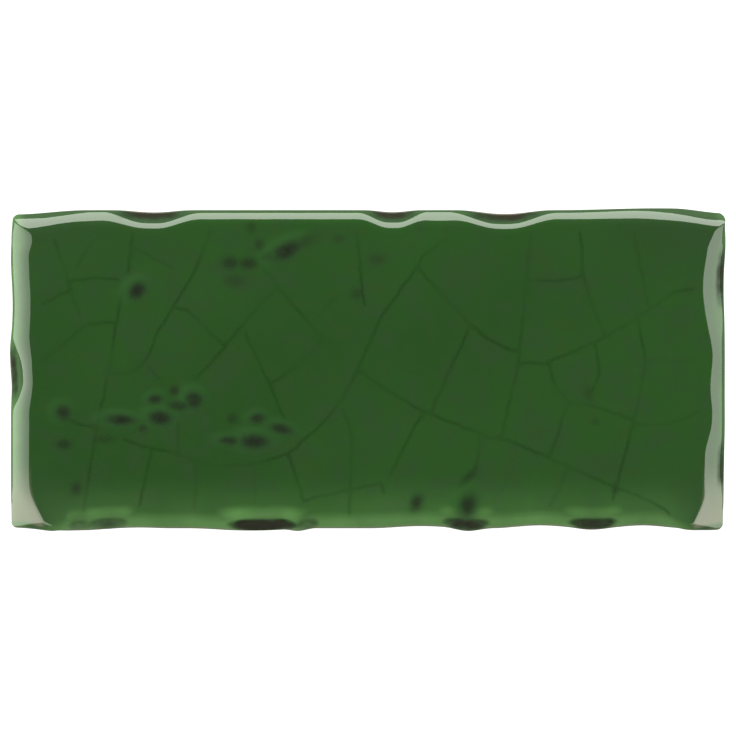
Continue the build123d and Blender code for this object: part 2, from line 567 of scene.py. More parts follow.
class NodeBench:
    """Lays out the nodes of one node tree."""

    def __init__(self, tree: bpy.types.NodeTree) -> None:
        """Take the tree that the nodes go into."""
        self.tree = tree

    def add(self, kind: str, *sources: Source, **settings: str) -> bpy.types.Node:
        """Add a node and feed its inputs in order.

        Args:
            kind: the type of the node.
            sources: a socket, a constant or None for each input.
            settings: the properties of the node.

        Returns:
            The new node.
        """
        node = self.tree.nodes.new(kind)
        for name, value in settings.items():
            setattr(node, name, value)
        for place, source in enumerate(sources):
            self.feed(node.inputs[place], source)
        return node

    def feed(self, socket: Socket, source: Source) -> None:
        """Feed a socket from another socket or with a constant.

        Args:
            socket: the input to feed.
            source: a socket, a constant, or None to leave the input as it is.
        """
        if source is None:
            return
        if isinstance(source, Socket):
            self.tree.links.new(source, socket)
        else:
            socket.default_value = source

    def math(self, operation: str, *sources: Source) -> Socket:
        """Return the result of a math node."""
        return self.add("ShaderNodeMath", *sources, operation=operation).outputs[0]

    def ease(self, value: Socket, ramp: Ramp) -> Socket:
        """Map a value smoothly.

        Args:
            value: the value to map.
            ramp: the bounds of the value and of the result.

        Returns:
            The mapped value.
        """
        bounds = (ramp.low, ramp.high, ramp.first, ramp.last)
        node = self.add("ShaderNodeMapRange", value, *bounds, interpolation_type="SMOOTHSTEP")
        return node.outputs[0]

    def blend(self, share: Socket, first: Source, second: Source) -> Socket:
        """Mix two colours by a share.

        Args:
            share: the share of the second colour.
            first: the first colour, as a socket or a constant.
            second: the second colour.

        Returns:
            The mixed colour.
        """
        node = self.add("ShaderNodeMix", data_type="RGBA")
        self.feed(node.inputs["Factor"], share)
        for place, colour in zip(MIX_COLOURS, (first, second)):
            self.feed(node.inputs[place], (*colour, 1) if isinstance(colour, tuple) else colour)
        return node.outputs[MIX_RESULT]

    def noise(self, point: Socket, scale: float, detail: float) -> Socket:
        """Lay a noise over the surface.

        Args:
            point: the point of the surface.
            scale: how fine the noise is, in waves to the metre.
            detail: how many finer noises it carries.

        Returns:
            The value of the noise.
        """
        node = self.add("ShaderNodeTexNoise", point)
        node.inputs["Scale"].default_value = scale
        node.inputs["Detail"].default_value = detail
        return node.outputs[0]

    def attribute(self, name: str) -> Socket:
        """Return the value of an attribute of the mesh."""
        return self.add("ShaderNodeAttribute", attribute_name=name).outputs["Fac"]


@dataclass(frozen=True)
class Crackle:
    """All craze lines of the face, drawn as chains of short stretches that waver a little."""

    lines: tuple[Craze, ...]
    step: float = 1.2
    jitter: float = 0.10
    reach: float = 1.5
    seed: int = 7

    def trace(self, line: Craze, chance: np.random.Generator) -> np.ndarray:
        """Draw one line as a chain.

        Args:
            line: the craze line.
            chance: the source of the wavering.

        Returns:
            The points of the chain.
        """
        start, end = np.array(line.start), np.array(line.end)
        run = end - start
        length = np.hypot(*run)
        left = np.array((-run[1], run[0])) / length
        share = np.linspace(0, 1, max(round(length / self.step), 2) + 1)
        waver = chance.normal(0, self.jitter, len(share))
        waver[[0, -1]] = 0
        height = 4 * line.bow * share * (1 - share) + waver
        return start + np.outer(share, run) + np.outer(height, left)

    def measure(self, points: np.ndarray) -> tuple[np.ndarray, np.ndarray, np.ndarray]:
        """Measure how far points lie from the nearest line.

        Args:
            points: the points, in millimetres.

        Returns:
            The signed distances, the plain distances and the strengths of the nearest lines.
        """
        chance = np.random.default_rng(self.seed)
        signed = np.full(len(points), self.reach)
        plain = np.full(len(points), self.reach)
        strength = np.zeros(len(points))
        for line in self.lines:
            chain = self.trace(line, chance)
            for start, end in zip(chain[:-1], chain[1:]):
                low = np.minimum(start, end) - self.reach
                high = np.maximum(start, end) + self.reach
                close = np.nonzero(np.all((points[:, :2] > low) & (points[:, :2] < high), axis=1))[0]
                run = end - start
                offset = points[close, :2] - start
                share = np.clip(offset @ run / (run @ run), 0, 1)
                away = np.hypot(*(offset - np.outer(share, run)).T)
                side = np.where(run[0] * offset[:, 1] - run[1] * offset[:, 0] >= 0, 1, -1)
                nearer = away < plain[close]
                plain[close[nearer]] = away[nearer]
                signed[close[nearer]] = (away * side)[nearer]
                strength[close[nearer]] = line.strength
        return signed, plain, strength


class Glaze:
    """The crackled glaze, with the bare clay of the foot and the back."""

    def __init__(self, finish: GlazeFinish) -> None:
        """Start the material.

        Args:
            finish: the colours and measures of the glaze.
        """
        self.finish = finish
        self.material = bpy.data.materials.new("glaze")
        self.material.use_nodes = True
        self.material.node_tree.nodes.clear()
        self.bench = NodeBench(self.material.node_tree)
        self.point = self.bench.add("ShaderNodeTexCoord").outputs["Object"]

    def build(self) -> bpy.types.Material:
        """Lay the colours over each other and set the gloss.

        Returns:
            The material.
        """
        finish, bench = self.finish, self.bench
        # Stain in the hollows, partly painted shade
        stain_and_shade = bench.math("MULTIPLY", bench.attribute("stain_and_shade"), self.fray(finish.stain_and_shade_fray))
        ragged = self.fray(finish.clay_fray)
        worn = bench.ease(bench.math("ADD", bench.attribute("worn"), ragged), finish.wearing)
        naked = bench.ease(bench.math("ADD", bench.attribute("bare"), ragged), finish.baring)

        colour = self.thin_and_lit_colour(self.even_colour())
        colour = bench.blend(self.craze_mask(), colour, finish.cracked)
        colour = self.pit_colour(colour)
        # Gathered glaze and brown stain in the hollows, partly painted shade
        colour = bench.blend(bench.ease(stain_and_shade, finish.gathering_and_shading), colour, finish.gathered_and_shaded)
        colour = bench.blend(bench.ease(stain_and_shade, finish.staining_and_shading), colour, finish.stained_and_shaded)
        colour = bench.blend(worn, colour, finish.worn)
        colour = bench.blend(naked, colour, finish.clay)

        shader = bench.add("ShaderNodeBsdfPrincipled")
        shader.inputs["IOR"].default_value = finish.index
        bench.feed(shader.inputs["Base Color"], colour)
        roughness = bench.ease(naked, Ramp(0, 1, finish.roughness, finish.clay_roughness))
        bench.feed(shader.inputs["Roughness"], roughness)
        bench.feed(shader.inputs["Specular IOR Level"], bench.ease(stain_and_shade, finish.stain_and_shade_shine))
        bench.add("ShaderNodeOutputMaterial", shader.outputs[0])
        return self.material

    def mottle(self, mottle: Mottle) -> Socket:
        """Return the shares of soft patches over the surface."""
        noise = self.bench.noise(self.point, mottle.scale, mottle.detail)
        return self.bench.ease(noise, mottle.ramp)

    def fray(self, fray: Fray) -> Socket:
        """Return the values that make an edge ragged."""
        noise = self.bench.noise(self.point, fray.scale, fray.detail)
        return self.bench.math("MULTIPLY_ADD", noise, fray.gain, fray.base)

    def even_colour(self) -> Socket:
        """Colour the even glaze, which is greyer towards the corners of the face.

        Returns:
            The colour.
        """
        finish, bench = self.finish, self.bench
        colour = bench.blend(self.mottle(finish.clouds), finish.deep, finish.fresh)
        parts = bench.add("ShaderNodeSeparateXYZ", self.point).outputs
        along = bench.math("MULTIPLY", parts[0], 1 / finish.corner[0] / MM)
        across = bench.math("MULTIPLY", parts[1], 1 / finish.corner[1] / MM)
        corner = bench.math("MULTIPLY", along, across)
        corner = bench.ease(bench.math("MULTIPLY", corner, corner), finish.grey_corners)
        greyed = bench.math("MAXIMUM", corner, self.mottle(finish.grey_patches))
        colour = bench.blend(greyed, colour, finish.greyed)
        return bench.blend(self.mottle(finish.olive_patches), colour, finish.olive)

    def thin_and_lit_colour(self, colour: Socket) -> Socket:
        """Lighten the colour where the glaze is thin or light is painted on, and where the clay shows
        through it.

        Args:
            colour: the colour of the even glaze.

        Returns:
            The new colour.
        """
        finish, bench = self.finish, self.bench
        # Thin glaze, partly painted light along the sides and around the hollows
        thin_and_lit = bench.math("MULTIPLY", bench.attribute("thin_and_lit"), self.fray(finish.thin_and_lit_fray))
        colour = bench.blend(thin_and_lit, colour, finish.thin_and_lit)
        return bench.blend(bench.attribute("buff"), colour, finish.buff)

    def craze_mask(self) -> Socket:
        """Draw the craze lines from the distances that the mesh carries.

        Returns:
            The mask of the lines, fading and strengthening along their run.
        """
        finish, bench = self.finish, self.bench
        away = bench.math("ABSOLUTE", bench.attribute("craze"))
        line = bench.ease(away, finish.craze_line)
        near = bench.ease(bench.attribute("craze_gap"), finish.craze_reach)
        mask = bench.math("MULTIPLY", bench.math("MULTIPLY", line, near), self.mottle(finish.craze_fading))
        return bench.math("MULTIPLY", mask, bench.attribute("craze_strength"))

    def pit_colour(self, colour: Socket) -> Socket:
        """Colour the pits, with a ragged dark pool and a painted highlight on one side.

        Args:
            colour: the colour of the glaze around them.

        Returns:
            The new colour.
        """
        finish, bench = self.finish, self.bench
        # Painted highlight on the upper left side of the darker pits
        colour = bench.blend(bench.attribute("lit_halo"), colour, finish.halo_highlight)
        ragged = bench.math("MINIMUM", self.fray(finish.pool_fray), 1.0)
        pooled = bench.math("MULTIPLY", bench.attribute("pool"), ragged)
        return bench.blend(pooled, colour, finish.pooled)


@dataclass
class Tile:
    """The fired tile: face, rolled edge, drawn-in foot and keyed back."""

    material: bpy.types.Material
    presses: tuple[Press, ...]
    hollows: tuple[Hollow, ...]
    pits: tuple[Pit, ...]
    crackle: Crackle
    marks: GlazeMarks

    # Rolled edge and foot. How high a point lies on the roll is its rise, from 0 to 90 degrees.
    length: float = 149.45
    width: float = 66.7
    roll_drop: float = 3.4
    long_roll: Roll = Roll(reach=3.3, edge_tilt=57.0, hollow_edge=1.9, hollow_reach=4.65)
    short_roll: Roll = Roll(reach=4.58, edge_tilt=43.0, hollow_edge=1.9, hollow_reach=5.0)
    roll_rings: int = 14
    foot_rings: int = 6
    foot_draw_in: float = 0.8
    corner_radius: float = 1.15
    corner_sharpening: Fade = Fade(28, 48)
    press_inwards: Fade = Fade(13.0, 3.5)
    hollow_along: Fade = Fade(1.0, 0.15)
    hollow_sink: float = 0.8

    # Face
    cell: float = 0.45
    face_rise: float = 60.0
    crown_rise: float = 89.0
    pit_surround: float = 1.6
    pit_slope: float = 0.012
    pit_bowl: Fade = Fade(1.3, 0.2)
    bottom_droop: float = 0.3
    droop_inwards: Fade = Fade(7.5, 0)
    droop_rise: Fade = Fade(0, 20)
    swell_size: float = 9.0
    swell_height: float = 0.10
    swell_rise: Fade = Fade(0, 30)
    sharp_angle: float = 50.0

    # Back
    groove_count: int = 6
    groove_width: float = 4.0
    groove_depth: float = 0.6
    groove_end_margin: float = 9.0
    groove_side_margin: float = 6.0
    level_normal: float = 0.9

    def __post_init__(self) -> None:
        """Read the place of the tile from the frame."""
        low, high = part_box("tile")
        self.low = Vector(low) / MM
        self.high = Vector(high) / MM
        self.crown = self.high.z
        self.belly = self.crown - self.roll_drop
        self.body: bpy.types.Object | None = None

    def build(self) -> bpy.types.Object:
        """Model the tile.

        Returns:
            The finished object.
        """
        self.lay_face()
        self.roll_edge()
        self.note_rise()
        self.refine_pits()
        self.mark_glaze()
        self.press_face()
        self.press_sides()
        self.swell()
        self.close_back()
        self.fit_frame()
        self.dress()
        return self.body

    def lay_face(self) -> None:
        """Lay the flat of the face as a fine grid at the height of the crown."""
        crown_length = self.length - 2 * self.short_roll.reach
        crown_width = self.width - 2 * self.long_roll.reach
        bpy.ops.object.select_all(action="DESELECT")
        bpy.ops.mesh.primitive_grid_add(
            x_subdivisions=round(crown_length / self.cell),
            y_subdivisions=round(crown_width / self.cell),
            size=1.0,
            location=(0, 0, self.crown * MM),
        )
        self.body = bpy.context.object
        self.body.name = "glazed_tile"
        self.body.scale = (crown_length * MM, crown_width * MM, 1)
        bpy.ops.object.transform_apply(location=True, rotation=True, scale=True)

    def roll_edge(self) -> None:
        """Extrude the rim of the face ring by ring, over the roll and down to the foot."""
        rings = []
        for ring in range(1, self.roll_rings + 1):
            angle = math.pi / 2 * (1 - ring / self.roll_rings)
            drop = self.roll_drop * (1 - math.sin(angle))
            rings.append((self.short_roll.inset(drop), self.long_roll.inset(drop), self.crown - drop))
        for ring in range(1, self.foot_rings + 1):
            share = ring / self.foot_rings
            lean = self.foot_draw_in * share**2
            rings.append((lean, lean, self.belly * (1 - share)))

        bpy.ops.object.mode_set(mode="EDIT")
        bpy.ops.mesh.select_mode(type="EDGE")
        bpy.ops.mesh.select_all(action="SELECT")
        bpy.ops.mesh.region_to_loop()
        half_x = self.length / 2 - self.short_roll.reach
        half_y = self.width / 2 - self.long_roll.reach
        height = self.crown
        for short_inset, long_inset, ring_height in rings:
            ring_x = self.length / 2 - short_inset
            ring_y = self.width / 2 - long_inset
            lower = (0, 0, (ring_height - height) * MM)
            bpy.ops.mesh.extrude_edges_move(TRANSFORM_OT_translate={"value": lower})
            bpy.ops.transform.resize(value=(ring_x / half_x, ring_y / half_y, 1))
            half_x, half_y, height = ring_x, ring_y, ring_height
        bpy.ops.object.mode_set(mode="OBJECT")

    def points(self) -> np.ndarray:
        """Read the points of the mesh.

        Returns:
            The points, in millimetres.
        """
        mesh = self.body.data
        flat = np.empty(len(mesh.vertices) * 3, dtype=np.float32)
        mesh.vertices.foreach_get("co", flat)
        return flat.reshape(-1, 3).astype(float) / MM

    def store(self, name: str, values: np.ndarray) -> None:
        """Keep a value for each point as an attribute of the mesh."""
        attribute = self.body.data.attributes.new(name, "FLOAT", "POINT")
        attribute.data.foreach_set("value", values.astype(np.float32))

    def recall(self, name: str) -> np.ndarray:
        """Read an attribute of the mesh.

        Args:
            name: the name of the attribute.

        Returns:
            Its value at each point.
        """
        attribute = self.body.data.attributes[name]
        values = np.empty(len(attribute.data), dtype=np.float32)
        attribute.data.foreach_get("value", values)
        return values.astype(float)

    def note_rise(self) -> None:
        """Keep how high on the roll each point lies, in degrees."""
        sine = np.clip((self.points()[:, 2] - self.belly) / self.roll_drop, 0, 1)
        self.store("rise", np.degrees(np.arcsin(sine)))

    def refine_pits(self) -> None:
        """Subdivide the face where the pits go."""
        points = self.points()
        near = np.zeros(len(points), dtype=bool)
        for pit in self.pits:
            near |= pit.distance(points) < self.pit_surround
        near &= points[:, 2] > self.crown - LEVEL_WITH
        self.select_points(near)
        bpy.ops.object.mode_set(mode="EDIT")
        bpy.ops.mesh.subdivide(number_cuts=1)
        bpy.ops.object.mode_set(mode="OBJECT")

    def select_points(self, chosen: np.ndarray) -> None:
        """Select points of the mesh, and nothing else.

        Args:
            chosen: whether each point is selected.
        """
        bpy.ops.object.mode_set(mode="EDIT")
        bpy.ops.mesh.select_mode(type="VERT")
        bpy.ops.mesh.select_all(action="DESELECT")
        bpy.ops.object.mode_set(mode="OBJECT")
        self.body.data.vertices.foreach_set("select", chosen)

    def add_group(self, name: str, weights: np.ndarray, chosen: np.ndarray) -> str:
        """Gather points in a weighted group.

        Args:
            name: the name of the group.
            weights: the weight of each point.
            chosen: whether each point is in the group.

        Returns:
            The name that the group got.
        """
        group = self.body.vertex_groups.new(name=name)
        for place in np.nonzero(chosen)[0]:
            group.add([int(place)], weights[place], "REPLACE")
        return group.name

    def displace(
        self, group: str, axis: Axis, height: float, texture: bpy.types.Texture | None = None
    ) -> None:
        """Push the points of a group along an axis, and delete the group.

        Args:
            group: the name of the group.
            axis: the axis to push along.
            height: how far a point with the full weight goes, in millimetres.
            texture: what makes the push uneven, so that it goes half up and half down.
        """
        modifier = self.body.modifiers.new("push", "DISPLACE")
        modifier.vertex_group = group
        modifier.direction = axis.value
        modifier.strength = height * MM
        modifier.mid_level = 0.5 if texture else 0
        modifier.texture = texture
        modifier.texture_coords = "LOCAL"
        bpy.ops.object.modifier_apply(modifier=modifier.name)
        bpy.ops.object.vertex_group_remove(all=True)

    def push(self, axis: Axis, offsets: np.ndarray) -> None:
        """Push each point along an axis by its own offset.

        Args:
            axis: the axis to push along.
            offsets: the offset of each point, in millimetres.
        """
        select_only(self.body)
        for sign in (1, -1):
            parts = np.maximum(offsets * sign, 0)
            most = parts.max()
            if most > UNMOVED:
                group = self.add_group("pushed", parts / most, parts > UNMOVED)
                self.displace(group, axis, sign * most)

    def roll_of(self, side: Side) -> Roll:
        """Return the roll of a side."""
        return self.long_roll if side.is_long else self.short_roll

    def roll_depth(self, rise: np.ndarray) -> np.ndarray:
        """Return how deep under the crown points lie on the plain roll."""
        return self.roll_drop * (1 - np.sin(np.radians(rise)))

    def side_frame(self, side: Side, points: np.ndarray) -> tuple[np.ndarray, np.ndarray, float]:
        """Place points along a side.

        Args:
            side: the side.
            points: the points, in millimetres.

        Returns:
            How far each point lies along the side and how far in from it, and the side's length.
        """
        out_x, out_y = side.value
        if side.is_long:
            return points[:, 0] + self.length / 2, self.width / 2 - out_y * points[:, 1], self.length
        return points[:, 1] + self.width / 2, self.length / 2 - out_x * points[:, 0], self.width

    def mark_glaze(self) -> None:
        """Mark where the glaze lies thin or has light painted on, gathers dark with painted shade, has
        crazed or leaves the clay bare.
        """
        points = self.points()
        rise = self.recall("rise")
        upper = self.marks.upper_rise.at(rise)
        on_face = rise > self.face_rise
        stain_and_shade, worn, around = self.mark_hollows(points)
        pool, lit_halo = self.mark_pits(points)
        signed, plain, strength = self.crackle.measure(points)
        # Thin glaze, partly painted light along the sides and around the hollows
        self.store("thin_and_lit", np.maximum(self.mark_thin_and_lit(points), around))
        self.store("buff", self.mark_buff(points) * upper)
        # Stain in the hollows, partly painted shade
        self.store("stain_and_shade", stain_and_shade * upper)
        self.store("bare", self.marks.foot.at(points[:, 2]))
        self.store("worn", worn)
        self.store("pool", pool * on_face)
        # Painted highlight beside the darker pits
        self.store("lit_halo", lit_halo * on_face)
        self.store("craze", signed)
        self.store("craze_gap", plain)
        self.store("craze_strength", strength * on_face)

    def mark_thin_and_lit(self, points: np.ndarray) -> np.ndarray:
        """Mark the thin glaze along the sides, with the light painted on them, most along the bottom.

        Args:
            points: the points, in millimetres.

        Returns:
            How thin the glaze is at each point, with the painted light, from 0 to 1.
        """
        thin_and_lit = np.zeros(len(points))
        for edge in self.marks.thin_and_lit_edges:
            along, inside, side_length = self.side_frame(edge.side, points)
            share = edge.most * edge.inwards.at(inside) ** self.marks.thin_and_lit_power
            if edge.ends:
                share *= edge.ends.at(np.minimum(along, side_length - along))
            thin_and_lit = np.maximum(thin_and_lit, share)
        return thin_and_lit

    def mark_buff(self, points: np.ndarray) -> np.ndarray:
        """Mark where the clay shows through along the bottom rim and at the low ends of the short sides.

        Args:
            points: the points, in millimetres.

        Returns:
            How much clay shows at each point, from 0 to 1.
        """
        marks = self.marks
        from_rim = self.side_frame(Side.BOTTOM, points)[1]
        buff = marks.buff_rim_share * marks.buff_rim.at(from_rim)
        for side in (Side.LEFT, Side.RIGHT):
            along, inside, _ = self.side_frame(side, points)
            end = marks.buff_end.at(along) * marks.buff_inwards.at(inside)
            buff = np.maximum(buff, marks.buff_end_share * end * marks.buff_above_rim.at(from_rim))
        return buff

    def mark_hollows(self, points: np.ndarray) -> tuple[np.ndarray, np.ndarray, np.ndarray]:
        """Mark the stains and painted shade in the hollows, their worn rims and the painted light around
        them.

        Args:
            points: the points, in millimetres.

        Returns:
            The stain with painted shade, the wear and the painted light at each point, from 0 to 1.
        """
        marks = self.marks
        stain_and_shade = np.zeros(len(points))
        worn = np.zeros(len(points))
        thin_and_lit = np.zeros(len(points))
        for hollow in self.hollows:
            along, inside, side_length = self.side_frame(hollow.side, points)
            away = hollow.away(along, side_length)
            scoop = self.hollow_along.at(away)
            if hollow.side is Side.BOTTOM:
                height = (inside - marks.oval_middle) / marks.oval_height
                patch = marks.oval_stain_and_shade.at(1 - away**3 - height**2)
            else:
                strip = marks.top_stain_and_shade if hollow.side is Side.TOP else marks.end_stain_and_shade
                patch = scoop * strip.at(inside)
            stain_and_shade = np.maximum(stain_and_shade, hollow.stain_and_shade * patch)
            worn = np.maximum(worn, hollow.worn * scoop * marks.worn_rim.at(inside))
            # Painted light around the hollow
            around = marks.halo_along.at(away) * marks.halo_inwards.at(inside)
            thin_and_lit = np.maximum(thin_and_lit, hollow.lit_halo * around)
        upwards = Fade(self.belly - marks.worn_drop, self.belly - marks.worn_full_drop)
        return stain_and_shade, worn * upwards.at(points[:, 2]), thin_and_lit

    def mark_pits(self, points: np.ndarray) -> tuple[np.ndarray, np.ndarray]:
        """Mark the dark pools in the pits and the painted highlight at one side of them.

        Args:
            points: the points, in millimetres.

        Returns:
            The pool and the painted highlight at each point, from 0 to 1.
        """
        marks = self.marks
        pool = np.zeros(len(points))
        lit_halo = np.zeros(len(points))
        for pit in self.pits:
            bowl = np.exp(-marks.pool_tightness * pit.distance(points) ** marks.pool_power)
            pool = np.maximum(pool, bowl * pit.dark)
            # Painted highlight: a lighter ring moved up and to the left of the pit
            lighter = marks.halo_reach.at(pit.shifted(marks.halo_shift).distance(points))
            lit_halo = np.maximum(lit_halo, marks.halo_share * lighter * marks.halo_dark.at(pit.dark))
        return pool, lit_halo

    def scoop_height(
        self, roll: Roll, inside: np.ndarray, height: np.ndarray, scoop: np.ndarray
    ) -> np.ndarray:
        """Work out how high the roll lies in a hollow.

        The edge of the roll moves in over the face, and a steep wall drops from it to the rim.

        Args:
            roll: the roll of the side that the hollow is in.
            inside: how far in from the side each point lies.
            height: how high each point lies on the plain roll.
            scoop: how deep the hollow is at each point, from 0 to 1.

        Returns:
            The heights.
        """
        edge_height = self.crown - roll.drop(0.0)
        wall_edge = np.maximum(scoop * roll.hollow_edge, HAIR)
        reach = roll.reach + scoop * (roll.hollow_reach - roll.reach)
        spread = roll.reach / (reach - wall_edge)
        shoulder = self.crown - roll.drop(np.maximum(inside - wall_edge, 0) * spread)
        wall_foot = edge_height - scoop * (edge_height - self.belly + self.hollow_sink)
        wall = wall_foot + (edge_height - wall_foot) * inside / wall_edge
        foot = self.belly * (1 - 1 / self.foot_rings)
        sunk = foot + (height - foot) * (wall_foot - foot) / (edge_height - foot)
        wall = np.where(inside < ON_SIDE, sunk, wall)
        return np.where(inside > wall_edge, shoulder, wall)

    def press_face(self) -> None:
        """Scoop the hollows out of the roll, sink the pits and let the face droop to the bottom side."""
        points = self.points()
        rise = self.recall("rise")
        height = points[:, 2]
        sink = np.zeros(len(points))
        for hollow in self.hollows:
            along, inside, side_length = self.side_frame(hollow.side, points)
            scoop = hollow.depth * self.hollow_along.at(hollow.away(along, side_length))
            roll = self.roll_of(hollow.side)
            scooped = self.scoop_height(roll, inside, height, scoop)
            near = (scoop > 0) & (inside < roll.hollow_reach) & (height > self.belly - LEVEL_WITH)
            sink = np.maximum(sink, np.where(near, height - scooped, 0))
        bowls = np.zeros(len(points))
        for pit in self.pits:
            bowl = self.pit_bowl.at(pit.distance(points)) * (rise > self.face_rise)
            bowls = np.maximum(bowls, bowl * self.pit_slope * pit.width * pit.dark)
        from_rim = self.side_frame(Side.BOTTOM, points)[1]
        droop = self.bottom_droop * self.droop_inwards.at(from_rim) * self.droop_rise.at(rise)
        self.push(Axis.Z, -(sink + (bowls + droop)))

    def press_sides(self) -> None:
        """Press the sides in and out and round the corners."""
        points = self.points()
        rise = self.recall("rise")
        drop = self.roll_depth(rise)
        # Along the top a hollow counts as low as it was scooped, which keeps its wall steep
        drop = np.where(points[:, 1] > 0, np.maximum(drop, self.crown - points[:, 2]), drop)
        push_x = np.zeros(len(points))
        push_y = np.zeros(len(points))
        for press in self.presses:
            along, inside, side_length = self.side_frame(press.side, points)
            lift = np.clip(1 - drop / self.roll_of(press.side).drop(0.0), 0, 1)
            depth = press.depths(press.away(along, side_length), lift) * self.press_inwards.at(inside)
            out_x, out_y = press.side.value
            push_x -= out_x * depth
            push_y -= out_y * depth
        round_x, round_y = self.round_corners(points, rise)
        self.push(Axis.X, push_x + round_x)
        self.push(Axis.Y, push_y + round_y)

    def round_corners(self, points: np.ndarray, rise: np.ndarray) -> tuple[np.ndarray, np.ndarray]:
        """Work out how far points move when the corners are rounded in plan.

        Args:
            points: the points, in millimetres.
            rise: how high on the roll each point lies, in degrees.

        Returns:
            The offsets along X and along Y.
        """
        drop = self.roll_depth(rise)
        lean = self.foot_draw_in * (1 - np.clip(points[:, 2] / self.belly, 0, 1)) ** 2
        half_x = self.length / 2 - self.short_roll.inset(drop) - lean
        half_y = self.width / 2 - self.long_roll.inset(drop) - lean
        radius = np.maximum(self.corner_radius * (1 - self.corner_sharpening.at(rise)), HAIR)
        past_x = np.abs(points[:, 0]) - (half_x - radius)
        past_y = np.abs(points[:, 1]) - (half_y - radius)
        in_corner = (past_x > 0) & (past_y > 0) & (rise < self.crown_rise)
        turn_x = np.pi / 4 * np.clip(past_x / radius, 0, 1)
        turn_y = np.pi / 4 * np.clip(past_y / radius, 0, 1)
        on_y_side = past_y >= past_x
        arc_x = np.where(on_y_side, radius * np.sin(turn_x), radius * np.cos(turn_y))
        arc_y = np.where(on_y_side, radius * np.cos(turn_x), radius * np.sin(turn_y))
        move_x = np.where(in_corner, arc_x - past_x, 0) * np.sign(points[:, 0])
        move_y = np.where(in_corner, arc_y - past_y, 0) * np.sign(points[:, 1])
        return move_x, move_y

    def swell(self) -> None:
        """Let the face and the roll swell gently, as a glazed surface does."""
        select_only(self.body)
        weights = self.swell_rise.at(self.recall("rise"))
        texture = bpy.data.textures.new("slow swell", "CLOUDS")
        texture.noise_scale = self.swell_size * MM
        group = self.add_group("upper", weights, weights > 0)
        self.displace(group, Axis.Z, self.swell_height, texture)

    @property
    def groove_half_run(self) -> float:
        """Return half the length of a groove."""
        return self.length / 2 - self.groove_end_margin

    @property
    def groove_lines(self) -> np.ndarray:
        """Return where the middle lines of the grooves lie across the tile."""
        outer = self.width / 2 - self.groove_side_margin - self.groove_width / 2
        return np.linspace(-outer, outer, self.groove_count)

    def close_back(self) -> None:
        """Close the back with one face and sink its grooves."""
        bpy.ops.object.mode_set(mode="EDIT")
        bpy.ops.mesh.select_mode(type="EDGE")
        bpy.ops.mesh.select_all(action="DESELECT")
        bpy.ops.mesh.select_non_manifold()
        bpy.ops.mesh.edge_face_add()
        bpy.ops.mesh.select_mode(type="FACE")
        cuts = [((x, 0, 0), (1, 0, 0)) for x in (-self.groove_half_run, self.groove_half_run)]
        for line in self.groove_lines:
            for edge in (-self.groove_width / 2, self.groove_width / 2):
                cuts.append(((0, line + edge, 0), (0, 1, 0)))
        for place, normal in cuts:
            self.select_back(grooves_only=False)
            bpy.ops.mesh.bisect(plane_co=Vector(place) * MM, plane_no=normal)
        self.select_back(grooves_only=True)
        deeper = (0, 0, self.groove_depth * MM)
        bpy.ops.mesh.extrude_region_move(TRANSFORM_OT_translate={"value": deeper})
        bpy.ops.mesh.select_all(action="SELECT")
        bpy.ops.mesh.normals_make_consistent(inside=False)
        bpy.ops.object.mode_set(mode="OBJECT")

    def in_groove(self, middle: Vector) -> bool:
        """Return whether the middle of a face, in millimetres, lies over a groove."""
        from_line = np.abs(self.groove_lines - middle.y).min()
        return abs(middle.x) < self.groove_half_run and from_line < self.groove_width / 2

    def select_back(self, grooves_only: bool) -> None:
        """Select the faces of the back.

        Args:
            grooves_only: whether only the faces over the grooves are selected.
        """
        bpy.ops.mesh.select_all(action="DESELECT")
        bpy.ops.object.mode_set(mode="OBJECT")
        for face in self.body.data.polygons:
            middle = face.center / MM
            on_back = abs(middle.z) < LEVEL_WITH and abs(face.normal.z) > self.level_normal
            if on_back and (not grooves_only or self.in_groove(middle)):
                face.select = True
        bpy.ops.object.mode_set(mode="EDIT")

    def fit_frame(self) -> None:
        """Bring the outline of the tile exactly into its place in the frame."""
        points = self.points()
        low, high = points.min(axis=0), points.max(axis=0)
        log.info("size before the fit: %s to %s", low.round(3), high.round(3))
        select_only(self.body)
        bpy.ops.object.mode_set(mode="EDIT")
        bpy.ops.mesh.select_all(action="SELECT")
        ratio = [(self.high[axis] - self.low[axis]) / (high[axis] - low[axis]) for axis in range(3)]
        bpy.ops.transform.resize(value=ratio, center_override=(0, 0, 0))
        shift = [(self.low[axis] - low[axis] * ratio[axis]) * MM for axis in range(3)]
        bpy.ops.transform.translate(value=shift)
        bpy.ops.object.mode_set(mode="OBJECT")

    def dress(self) -> None:
        """Smooth the surface, keep the grooves sharp, bare the back and give the tile its glaze."""
        select_only(self.body)
        bpy.ops.object.shade_smooth_by_angle(angle=math.radians(self.sharp_angle))
        bare = self.recall("bare")
        bare[self.points()[:, 2] < self.marks.back_height] = 1
        self.body.data.attributes["bare"].data.foreach_set("value", bare.astype(np.float32))
        self.body.data.materials.append(self.material)
        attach(self.body, "root")
        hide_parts("tile")
        log.info("tile: %d points", len(self.body.data.vertices))


